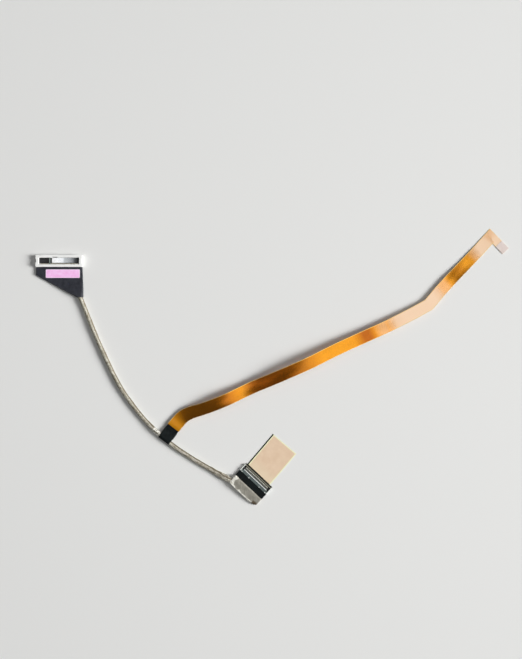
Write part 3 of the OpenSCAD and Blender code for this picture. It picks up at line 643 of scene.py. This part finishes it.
def plug_steel_look():
    """Stamped shell of the display plug: a dull plate behind the contacts, a painted highlight
    band on its lip, painted shade at its front, and painted highlights on its ends and tabs."""
    look = Look("plug_steel")
    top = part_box("lcd_shell")[1][2]
    placed = look.place_in(LCD)
    stains = look.noise(0.9 * MM, 4, 0.6)
    depth = look.math("ADD", look.math("DIVIDE", look.axis(placed, "Y"), LCD_W), 0.5)
    # painted highlight: a pale band on the lip, then brown painted shade at the front edge
    steel = look.ramp(depth, (0.2, rgb(140, 154, 150)), (0.7, rgb(146, 158, 154)), (0.73, rgb(214, 212, 186)),
                      (0.86, rgb(206, 202, 174)), (0.88, rgb(120, 116, 92)), (1.0, rgb(108, 104, 80)))
    spotted = look.blend(look.ramp(stains, (0.3, 0.4), (0.6, 0.0)), steel, rgb(96, 100, 96))
    # painted highlights: the ends and the tab tops turn near white
    ends = look.span(look.math("ABSOLUTE", look.axis(placed, "X")), LCD_L / 2 - 0.5 * MM, LCD_L / 2 - 0.4 * MM)
    tabs = look.span(look.axis(placed, "Z"), top - 0.05 * MM, top - 0.03 * MM)
    pale = look.math("MAXIMUM", ends, tabs)
    look.into("Base Color", look.blend(pale, spotted, rgb(240, 244, 238)))
    look.into("Metallic", look.ramp(pale, (0.0, 0.9), (1.0, 0.2)))
    look.into("Roughness", look.ramp(stains, (0.3, 0.38), (0.7, 0.28)))
    look.into("Normal", look.bump(stains, 0.01 * MM, 0.4))
    return look.material


def plug_contact_look():
    """Plated contacts: a painted highlight on their raised tips and painted shade behind them."""
    look = Look("plug_contact", Metallic=0.45)
    wear = look.noise(0.5 * MM, 3, 0.6)
    share = look.span(look.axis(look.place_in(LCD), "Y"), -0.5 * MM, 0.9 * MM)
    # painted shade in the middle of the row, painted highlight at the front tips
    look.into("Base Color", look.ramp(share, (0.1, rgb(150, 150, 136)), (0.45, rgb(92, 92, 80)),
                                      (0.66, rgb(252, 252, 240)), (0.95, rgb(244, 242, 224))))
    look.into("Roughness", look.ramp(wear, (0.3, 0.42), (0.7, 0.3)))
    look.into("Normal", look.bump(wear, 0.004 * MM))
    return look.material


def flex_stops(table):
    """Ramp stops from places along the flex in mm."""
    return [(place * MM / FLEX_END, level) for place, level in table]


def polyimide_look():
    """Amber cover film over copper: rows of traces, clear film edges, stretches painted pale
    and hazy as highlights, stretches of painted shade, and a scuffed bend at the splice."""
    look = Look("polyimide", Coat_Weight=0.25, Coat_Roughness=0.12, Coat_IOR=1.6)
    mapped = look.place("UV")
    edge = look.math("ABSOLUTE", look.math("SUBTRACT", look.axis(mapped, "X"), 0.5))
    traces = look.bands(0.062, mapped, "X")
    drift = look.noise(1.0, 4, 0.5, look.place(scale=(90, 90, 90)))
    grain = look.noise(0.25 * MM, 3, 0.6)
    copper = look.ramp(drift, (0.3, (0.8, 0.305, 0.008, 1)), (0.7, (0.87, 0.345, 0.012, 1)))
    ribbed = look.blend(look.ramp(traces, (0.1, 0.12), (0.4, 0.0)), copper, (0.3, 0.08, 0.003, 1))
    along = look.math("ADD", look.axis(mapped, "Y"), look.sway(drift, 5 * MM))
    share = look.math("DIVIDE", along, FLEX_END)
    painted_highlight_haze = look.ramp(share, *flex_stops(PAINTED_HIGHLIGHT_HAZE))
    painted_shade = look.ramp(share, *flex_stops(PAINTED_SHADE))
    # painted shade darkens the copper, and the painted highlight turns the film pale
    film = look.blend(painted_highlight_haze, look.blend(painted_shade, ribbed, (0.46, 0.115, 0.002, 1)), (1.0, 0.71, 0.48, 1))
    look.into("Base Color", look.blend(look.ramp(edge, (0.455, 0.0), (0.465, 0.85)), film, rgb(246, 206, 122)))
    look.into("Metallic", look.ramp(painted_highlight_haze, (0.0, 0.97), (1.0, 0.52)))
    bent = look.ramp(share, (0.05, 0.85), (0.09, 0.0))
    look.into("Roughness", look.blend(look.math("MAXIMUM", painted_highlight_haze, bent), look.ramp(grain, (0.3, 0.15), (0.7, 0.2)),
                                      (0.34, 0.34, 0.34, 1)))
    look.into("Normal", look.bump(traces, 0.02 * MM, 0.15, look.bump(grain, 0.01 * MM, 0.12)))
    return look.material


def liner_look():
    """Calendered release paper: faint fibres, paler cut edges."""
    look = Look("liner_paper", IOR=1.45, Coat_Weight=0.15, Coat_Roughness=0.35)
    fibres = look.noise(1.0, 5, 0.7, look.place("UV", (1 / (0.35 * MM), 1 / (0.9 * MM), 1)))
    mottle = look.noise(4 * MM, 3)
    paper = look.ramp(mottle, (0.3, rgb(226, 197, 167)), (0.7, rgb(234, 208, 180)))
    fibrous = look.blend(look.ramp(fibres, (0.35, 0.35), (0.6, 0.0)), paper, rgb(212, 182, 152))
    corner = Matrix.Translation((-LINER_W / 2 - FLAG_SHIFT, LCD_W / 2, 0))
    flag = LCD @ corner @ Matrix.Rotation(FLAG_TURN, 4, "Z")
    edge, fade = 0.35 * MM, 0.3 * MM
    middle = look.inside((edge + fade, -LINER_L), (LINER_W - edge - fade, LINER_L - edge - fade), fade, flag)
    near_plug = look.inside((-LINER_W, -LINER_L), (2 * LINER_W, 1.5 * MM), 5 * MM, flag)
    faded = look.blend(look.math("MULTIPLY", near_plug, 0.4), fibrous, rgb(230, 218, 186))
    look.into("Base Color", look.blend(middle, rgb(240, 240, 198), faded))
    look.into("Roughness", look.ramp(fibres, (0.3, 0.5), (0.7, 0.42)))
    look.into("Normal", look.bump(fibres, 0.008 * MM, 0.6))
    return look.material


def label_look():
    """Satin label stock with a pale unprinted margin."""
    look = Look("label_paper", IOR=1.45, Coat_Weight=0.2, Coat_Roughness=0.3)
    mottle = look.noise(2.2 * MM, 4, 0.6)
    fibres = look.noise(0.2 * MM, 3, 0.6)
    lo, hi = (Vector(c).to_2d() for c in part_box("board_label"))
    rim = Vector((0.5 * MM, 0.35 * MM))
    print_area = look.inside(lo + rim, hi - rim, 0.25 * MM)
    pink = look.ramp(mottle, (0.3, rgb(250, 180, 234)), (0.7, rgb(255, 208, 250)))
    look.into("Base Color", look.blend(print_area, rgb(254, 228, 250), pink))
    look.into("Roughness", look.ramp(fibres, (0.3, 0.48), (0.7, 0.4)))
    look.into("Normal", look.bump(fibres, 0.006 * MM, 0.5))
    return look.material


def wire_look(colour, light):
    """Extruded wire jackets."""
    look = Look("wire_jacket", IOR=1.48)
    drift = look.noise(1.2 * MM, 3)
    look.into("Base Color", look.ramp(drift, (0.3, colour), (0.7, light)))
    look.into("Roughness", look.ramp(drift, (0.3, 0.34), (0.7, 0.46)))
    look.into("Normal", look.bump(drift, 0.02 * MM, 0.4))
    return look.material


def rib_box():
    """The board housing's key rib, seen from above."""
    lo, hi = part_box("board_housing")
    middle = (lo[0] + hi[0]) / 2 + KEY_RIB_X
    return ((middle - KEY_RIB_T / 2, lo[1] + BOARD_WALL), (middle + KEY_RIB_T / 2, hi[1] - BOARD_WALL))


LOOKS = {
    # the housing's key rib, inside rib_box(), gets painted shade
    "white_moulding": moulding_look("white_moulding", rgb(246, 246, 244), rgb(238, 238, 235), 0.42, rib_box()),
    "black_moulding": moulding_look("black_moulding", rgb(24, 24, 26), rgb(15, 15, 17), 0.4),
    "shield_plate": shield_look(),
    "plated_contact": metal_look("plated_contact", rgb(214, 208, 190), rgb(190, 182, 160), 0.34, 0.6),
    "tinned_bar": metal_look("tinned_bar", rgb(246, 250, 244), rgb(228, 232, 226), 0.4, 0.3, 0.01),
    "board_tape": tape_look("board_tape", rgb(32, 34, 42), rgb(50, 52, 61)),
    "black_tape": tape_look("black_tape", rgb(8, 13, 14), rgb(20, 27, 28), 0.6, 0.16),
    "conductive_cloth": cloth_look(),
    "foil": foil_look("foil", rgb(248, 246, 236), rgb(104, 97, 76), 0.36, 0.8 * MM, 0.4),
    "foil_wrap": wrap_look(),
    "plug_steel": plug_steel_look(),
    "plug_contact": plug_contact_look(),
    "polyimide": polyimide_look(),
    "stiffener": moulding_look("stiffener", rgb(228, 214, 208), rgb(214, 198, 190), 0.4),
    "tail_film": moulding_look("tail_film", rgb(112, 114, 106), rgb(84, 86, 80), 0.45),
    "label_paper": label_look(),
    "wire_jacket": wire_look(rgb(28, 40, 70), rgb(52, 70, 110)),
    "liner_paper": liner_look(),
    "adhesive": moulding_look("adhesive", rgb(226, 226, 214), rgb(206, 206, 192), 0.3),
}

# ---------------------------------------------------------- camera and light


def add_camera():
    data = bpy.data.cameras.new("camera")
    data.sensor_width = 36
    data.lens = data.sensor_width / 2 * CAMERA_AT.z / VIEW_HALF_HEIGHT
    data.clip_start, data.clip_end = 0.01, 10
    camera = bpy.data.objects.new("camera", data)
    camera.location = CAMERA_AT
    bpy.context.scene.collection.objects.link(camera)
    bpy.context.scene.camera = camera


def add_lamp(name, at, size, watts, aim=(0, 0, 0)):
    data = bpy.data.lights.new(name, "AREA")
    data.shape = "RECTANGLE"
    data.size, data.size_y = size
    data.energy = watts
    lamp = bpy.data.objects.new(name, data)
    lamp.location = at
    lamp.rotation_euler = (Vector(aim) - Vector(at)).to_track_quat("-Z", "Y").to_euler()
    bpy.context.scene.collection.objects.link(lamp)
    return data


def add_light():
    world = bpy.data.worlds.new("world")
    world.use_nodes = True
    background = world.node_tree.nodes["Background"]
    background.inputs["Color"].default_value = WORLD_COLOUR
    background.inputs["Strength"].default_value = WORLD_LEVEL
    bpy.context.scene.world = world
    window = add_lamp("window", WINDOW_AT, WINDOW_SIZE, WINDOW_WATTS)
    window.spread = WINDOW_SPREAD
    add_lamp("softbox", SOFTBOX_AT, SOFTBOX_SIZE, SOFTBOX_WATTS, (*SOFTBOX_AT[:2], 0))


def add_floor():
    look = Look("floor", Base_Color=rgb(228, 228, 226), Roughness=0.9)
    mesh = bpy.data.meshes.new("floor")
    corners = [(x * FLOOR_HALF, y * FLOOR_HALF, 0) for x, y in ((-1, -1), (1, -1), (1, 1), (-1, 1))]
    mesh.from_pydata(corners, [], [(0, 1, 2, 3)])
    mesh.materials.append(look.material)
    floor = bpy.data.objects.new("floor", mesh)
    bpy.context.scene.collection.objects.link(floor)

# ------------------------------------------------------------------ bundle


def cloth_radius(s, angle, length):
    """Radius of the wrapped bundle s along it, at an angle up from its right."""
    r = BUNDLE_R * (0.955 + 0.03 * noise.noise(Vector((s / (6 * MM), math.cos(angle), math.sin(angle)))))
    for at, height, facing in CLOTH_LAPS:
        past = s - at * MM - LAP_SLANT * math.cos(angle - facing)
        if past > 0:
            r += height * MM * clamp(past / LAP_EDGE) * math.exp(-past / LAP_FADE)
    lumps = noise.noise(Vector((s / (1.7 * MM), 1.3 * math.cos(angle), 1.3 * math.sin(angle) + 7)))
    r += LUMPS * lumps * bell(length - s - LUMPS_FROM_END, LUMPS_REACH)
    seam = (angle - SEAM_AT + 0.25 * noise.noise(Vector((s / (9 * MM), 4, 0)))) % (2 * math.pi)
    return r + SEAM_LIP * (1 - ease(seam / SEAM_SPAN)) * ease(seam / 0.12)


def bundle_width(s, length):
    """The last turns before the display plug lie flatter and wider."""
    return 1 + FLAT_SHARE * bell(length - s - FLAT_FROM_END, FLAT_REACH)


def make_bundle():
    path = resample(bundle_path(), BUNDLE_STEP)
    length = sum((b - a).length for a, b in zip(path, path[1:]))
    rings, sides, s = [], 32, 0.0
    for i, centre in enumerate(path):
        along = (path[min(i + 1, len(path) - 1)] - path[max(i - 1, 0)]).normalized()
        right = along.cross(Vector((0, 0, 1))).normalized()
        up = right.cross(along)
        ring = []
        for k in range(sides):
            a = 2 * math.pi * k / sides
            r = cloth_radius(s, a, length)
            p = centre + right * math.cos(a) * r * bundle_width(s, length) + up * math.sin(a) * r
            ring.append(Vector((p.x, p.y, max(p.z, 0.02 * MM))))
        rings.append(ring)
        s += (path[min(i + 1, len(path) - 1)] - centre).length
    bundle = loft("bundle_cloth", rings, 50)
    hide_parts("bundle")
    finish_piece(bundle, LOOKS["conductive_cloth"])

# -------------------------------------------------------------------- flex


def strip_edge(path, i, side, before, after):
    """Edge point of a flat strip, mitred where the strip turns."""
    last = len(path) - 1
    d0 = (path[max(i, 1)] - path[max(i, 1) - 1]).to_2d().normalized()
    d1 = (path[min(i + 1, last)] - path[min(i, last - 1)]).to_2d().normalized()
    n0, n1 = (side * h * Vector((-d.y, d.x)) for h, d in ((before, d0), (after, d1)))
    turn = d0.cross(d1)
    at = path[i].to_2d()
    if abs(turn) < 0.002:
        return at + (n0 + n1) / 2
    return at + n0 + d0 * (n1 - n0).cross(d1) / turn


def flex_half(i, corner):
    """Half width of the flex just before point i of its path."""
    if i >= corner:
        return ARM_W / 2
    if i < 2:
        return SPLICE_W / 2 - TAIL_INSET
    first, last = FLEX_NARROWS
    return mix(FLEX_TAIL_W, FLEX_W, ease((2 + (i - 2) / 3 - first) / (last - first))) / 2


def flex_section():
    """Its outline as shares: across from the right, and up from its underside."""
    inset = 0.06 * MM / FLEX_W
    across = [mix(inset, 1 - inset, c / (FLEX_COLUMNS - 1)) for c in range(FLEX_COLUMNS)]
    return [(0.0, 0.5), *((f, 0.0) for f in across), (1.0, 0.5), *((1 - f, 1.0) for f in across)]


def flex_wave(s, f, to_corner):
    """How far the film lifts: a faint wave in its free length, and its ripples."""
    wave = 0.07 * MM * noise.noise(Vector((s / (11 * MM), 1.5 * f, 2.0)))
    wave *= ease(s / (20 * MM)) * ease(to_corner / (18 * MM))
    return wave + sum(height * MM * bell(s - at * MM, width * MM) for at, height, width in RIPPLES)


def make_flex():
    path, corner = flex_path()
    rings, uvs, s = [], [], 0.0
    for i, centre in enumerate(path):
        if i:
            s += (centre - path[i - 1]).length
        before = flex_half(i, corner)
        after = flex_half(i + 1, corner) if i == corner - 1 else before
        left = strip_edge(path, i, 1, before, after)
        right = strip_edge(path, i, -1, before, after)
        to_corner = (path[corner] - centre).length if i < corner else 0.0
        ring = []
        for f, level in flex_section():
            xy = right.lerp(left, f)
            ring.append(Vector((xy.x, xy.y, centre.z + level * FLEX_T + flex_wave(s, f, to_corner))))
            uvs.append((f, s))
        rings.append(ring)
    flex = loft("flex_film", rings, 50, uvs)
    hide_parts("flex")
    finish_piece(flex, LOOKS["polyimide"])


def make_tip():
    dressed("tip_stiffener", "tip_stiffener_film", LOOKS["stiffener"], 0.02 * MM, 2)
    paint("tip_contacts", LOOKS["plated_contact"])

# ------------------------------------------------------------- board plug


def make_board_plug():
    dressed("board_housing", "white_housing", LOOKS["white_moulding"], 0.07 * MM, 3)
    dressed("board_insert", "black_insert", LOOKS["black_moulding"], 0.02 * MM, 1)
    dressed("board_shield", "shield_plate", LOOKS["shield_plate"], 0.03 * MM, 2)
    paint("board_contacts", LOOKS["plated_contact"])
    paint("board_wires", LOOKS["wire_jacket"])
    paint("board_ground_bar", LOOKS["tinned_bar"])


def board_tape_edges(s, run):
    """Left and right edges of the tape, s behind the housing."""
    half = BOARD_SIZE.x / 2
    left = -half
    if s > BOARD_TAPE_SHOULDER:
        left = mix(-half, NECK_OFFSET - NECK_W / 2, (s - BOARD_TAPE_SHOULDER) / (run - BOARD_TAPE_SHOULDER))
    return left, mix(half, NECK_OFFSET + NECK_W / 2, s / run)


def make_board_tape():
    lo, hi = (Vector(c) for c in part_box("board_tape"))
    run = hi.y - lo.y
    rings = []
    stations, around = 56, 96
    for i in range(stations + 1):
        s = run * i / stations
        left, right = board_tape_edges(s, run)
        rise = ease((s - BOARD_TAPE_FLAT) / (run - BOARD_TAPE_FLAT))
        h = mix(BOARD_TAPE_H, NECK_H, rise)
        r = max(mix(0.35 * MM, 0.92 * min(h, right - left) / 2, rise), 0.1 * MM)
        ring = []
        for x, z in even_ring(round_rect(left, right, 0, h, r), around):
            across = (x - left) / (right - left)
            top = ease(z / h * 2 - 0.8)
            under_label = 1 - ease((s - BOARD_TAPE_FLAT) / (1.5 * MM))
            wires = BOARD_TAPE_RIB * math.cos(across * 2 * math.pi * BOARD_TAPE_RIBS) * (1 - rise)
            fold = BOARD_TAPE_FOLD * crumple(x, s, 1.7, 7, 3.4 * MM) * ease((s - BOARD_TAPE_FLAT) / (3 * MM))
            z += top * ((wires + fold) * (1 - 0.9 * under_label) * (1 - 0.6 * rise) - 0.06 * MM * rise)
            ring.append(Vector((BOARD_AT.x + x, BOARD_AT.y - BOARD_SIZE.y / 2 - s, max(z, 0.01 * MM))))
        rings.append(ring)
    tape = loft("board_plug_tape", rings)
    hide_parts("board_tape")
    finish_piece(tape, LOOKS["board_tape"])


def make_label():
    dressed("board_label", "pink_label", LOOKS["label_paper"], 0.03 * MM, 2)

# ------------------------------------------------------------------ splice


def splice_section(s):
    """Underside, top and edge radius of the splice tape, s along the flex."""
    middle = BUNDLE_R + WRAP_LIFT
    over = math.sqrt(max(1 - (s / middle) ** 2, 0.0)) if s < 0 else 1.0
    first, last = SPLICE_FALL
    fall = ease((s - first) / (last - first))
    low = mix(middle - middle * over, SPLICE_EXIT_Z - TAIL_PAD - TAPE_T, fall)
    top = mix(middle + middle * over, SPLICE_EXIT_Z + FLEX_T + 2 * TAPE_T, fall)
    least = 0.02 * MM
    if top - low < least:
        return middle - least / 2, middle + least / 2, least / 4
    return low, top, min(SPLICE_EDGE_R, 0.49 * (top - low))


def make_splice():
    splice = splice_frame()
    stations, around = 40, 64
    rings = []
    for i in range(stations + 1):
        s = mix(-(BUNDLE_R + WRAP_LIFT), SPLICE_LEN, (i / stations) ** 1.2)
        low, top, r = splice_section(s)
        half = SPLICE_W / 2 + 0.05 * MM * math.sin(s / (1.1 * MM))
        ring = []
        for y, z in even_ring(round_rect(-half, half, low, top, r), around):
            lift = ease((z - low) / (top - low) * 2 - 1)
            z += lift * 0.07 * MM * crumple(s, y, 4.1, 6, 2.6 * MM)
            ring.append(splice @ Vector((s, y, z)))
        rings.append(ring)
    tape = loft("splice_wrap", rings)
    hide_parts("splice_tape")
    finish_piece(tape, LOOKS["black_tape"])
    paint("splice_wires", LOOKS["wire_jacket"])
    paint("flex_tail_stiffener", LOOKS["tail_film"])


def make_foil_band():
    """A crumpled turn of foil just short of the splice."""
    (x0, y0, _), (x1, y1, _) = BUNDLE_ROUTE[SPLICE_I - 1:SPLICE_I + 1]
    run = Vector((x1 - x0, y1 - y0, 0)).normalized()
    side = run.cross(Vector((0, 0, 1)))
    middle = BUNDLE_R + WRAP_LIFT
    end = Vector((x1 * MM, y1 * MM, middle)) - run * (SPLICE_W / 2 + FOIL_SPACE)
    rings, stations, sides = [], 40, 48
    for i in range(stations + 1):
        along = FOIL_BAND_LEN * (1 - i / stations)
        ring = []
        for k in range(sides):
            a = 2 * math.pi * k / sides
            fold = noise.noise(Vector((along / (0.9 * MM), 1.6 * math.cos(a), 1.6 * math.sin(a))))
            r = BUNDLE_R + FOIL_BAND_GAP + FOIL_FOLD * fold
            ring.append(end - run * along + side * r * math.cos(a) + Vector((0, 0, r * math.sin(a))))
        rings.append(ring)
    band = loft("foil_turn", rings, 25)
    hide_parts("foil_band")
    finish_piece(band, LOOKS["foil"])

# ------------------------------------------------------------ display plug


def make_display_plug():
    dressed("lcd_shell", "stamped_shell", LOOKS["plug_steel"], 0.03 * MM, 2)
    dressed("lcd_body", "plug_body", LOOKS["black_moulding"], 0.015 * MM, 1)
    paint("lcd_contacts", LOOKS["plug_contact"])
    paint("lcd_wires", LOOKS["wire_jacket"])
    dressed("lcd_ground_bar", "ground_bar", LOOKS["tinned_bar"], 0.03 * MM, 2)
    dressed("lcd_tape_band", "tape_band", LOOKS["black_tape"], 0.05 * MM, 3)
    dressed("lcd_tape_flag", "tape_flag", LOOKS["black_tape"], 0.03 * MM, 2)
    dressed("release_liner", "liner", LOOKS["liner_paper"], 0.03 * MM, 2)
    paint("lcd_adhesive", LOOKS["adhesive"])


def make_foil_wrap():
    front = -(LCD_W / 2 + BAND_W)
    rear = front - WRAP_DEPTH
    stations, around = 120, 110
    rings = []
    for i in range(stations + 1):
        t = i / stations
        x = mix(-LCD_L / 2 + 0.3 * MM, LCD_L / 2 - 0.1 * MM, t)
        h = NECK_H * (1 - WRAP_FALL * ease(t))
        back = rear + 1.3 * MM * t ** 8 + 0.3 * MM * (1 - t) ** 12
        ring = []
        for y, z in even_ring(round_rect(back, front, 0, h, WRAP_EDGE_R), around):
            top = ease(z / h * 1.6 - 0.5)
            ends = ease(t / 0.03) * ease((1 - t) / 0.03)
            z += top * (ends * (WRAP_BULGE + WRAP_CREASE * crumple(x, y, 0.9, 5, 4.6 * MM)) - 0.06 * MM)
            y += (1 - top) * 0.12 * MM * crumple(x, z, 2.9)
            ring.append(LCD @ Vector((x, y, max(z, 0.01 * MM))))
        rings.append(ring)
    wrap = loft("plug_foil_wrap", rings, 30)
    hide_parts("lcd_foil_wrap")
    finish_piece(wrap, LOOKS["foil_wrap"])


bpy.context.scene.view_settings.view_transform = "Standard"
add_camera()
add_light()
add_floor()
make_tip()
make_bundle()
make_flex()
make_board_plug()
make_board_tape()
make_label()
make_splice()
make_foil_band()
make_display_plug()
make_foil_wrap()
